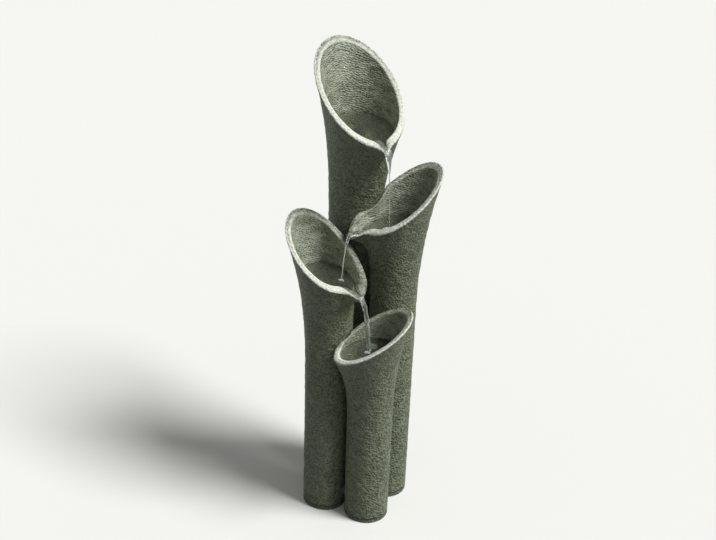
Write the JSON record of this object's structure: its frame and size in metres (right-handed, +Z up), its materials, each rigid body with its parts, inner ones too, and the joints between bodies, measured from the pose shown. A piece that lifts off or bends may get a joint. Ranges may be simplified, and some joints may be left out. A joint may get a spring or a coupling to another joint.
{
  "type": "garden fountain",
  "caption": "Cascading garden fountain of clustered flared tubes in cast resin stone; a hidden pump lifts water to the tallest mouth and it pours from lip to lip to the sump.",
  "frame": {"origin": "middle of the square that the right, left and front tubes stand on, on the flat underside of the base plate", "axes": "+X to the right and +Y to the back as seen from the front of the cascade, +Z up along the tubes"},
  "size_m": [0.305, 0.3249, 0.9901],
  "materials": {
    "stone": "cast resin and stone powder, hammered texture, dark grey-green, rims dry-brushed pale grey, sealed",
    "black_plastic": "moulded, black",
    "grey_plastic": "moulded, grey",
    "pale_plastic": "moulded, natural",
    "rubber": "black rubber",
    "steel": "stainless steel",
    "ferrite": "sintered ferrite",
    "ceramic": "polished ceramic",
    "water": "running water",
    "foam": "broken water where a stream lands"
  },
  "bodies": {
    "fountain": {"tall_tube": "stone", "right_tube": "stone", "left_tube": "stone", "front_tube": "stone", "base_plate": "stone", "foot_gaskets": "rubber", "link_sleeves": "black_plastic", "link_nuts": "black_plastic", "saddle_seals": "rubber", "tie_bolts": "steel", "tie_washers": "steel", "tie_nuts": "steel", "tall_bowl": "stone", "right_bowl": "stone", "left_bowl": "stone", "front_bowl": "stone", "inlet_fitting": "black_plastic", "inlet_seal": "rubber", "inlet_nut": "black_plastic", "supply_hose": "black_plastic", "hose_clamps": "steel", "pump_body": "black_plastic", "pump_volute_plate": "black_plastic", "pump_cover": "black_plastic", "rotor_pin": "ceramic", "pin_bushes": "rubber", "suction_cups": "rubber", "cable_grommet": "rubber", "overflow_pipe": "black_plastic", "overflow_nut": "black_plastic"},
    "rotor": {"impeller": "pale_plastic", "rotor_magnet": "ferrite"},
    "regulator": {"flow_regulator": "grey_plastic"},
    "hatch": {"access_hatch": "stone", "hatch_gasket": "rubber"},
    "drain": {"drain_plug": "rubber"},
    "strainer": {"leaf_strainer": "grey_plastic"}
  },
  "joints": [
    {"name": "rotor_spin", "type": "hinge", "parent": "fountain", "child": "rotor", "pos_m": [-0.02044, 0.08237, 0.029], "axis": [0, 1, 0], "continuous": true},
    {"name": "regulator_turn", "type": "hinge", "parent": "fountain", "child": "regulator", "pos_m": [-0.02044, 0.08237, 0.029], "axis": [0, 1, 0], "range_deg": [0, 90]},
    {"name": "hatch_off", "type": "slide", "parent": "fountain", "child": "hatch", "axis": [0, 1, 0], "range_m": [0, 0.05]},
    {"name": "drain_out", "type": "slide", "parent": "fountain", "child": "drain", "axis": [0, 1, 0], "range_m": [0, 0.03]},
    {"name": "strainer_lift", "type": "slide", "parent": "fountain", "child": "strainer", "axis": [0, 0, 1], "range_m": [0, 0.06]}
  ]
}
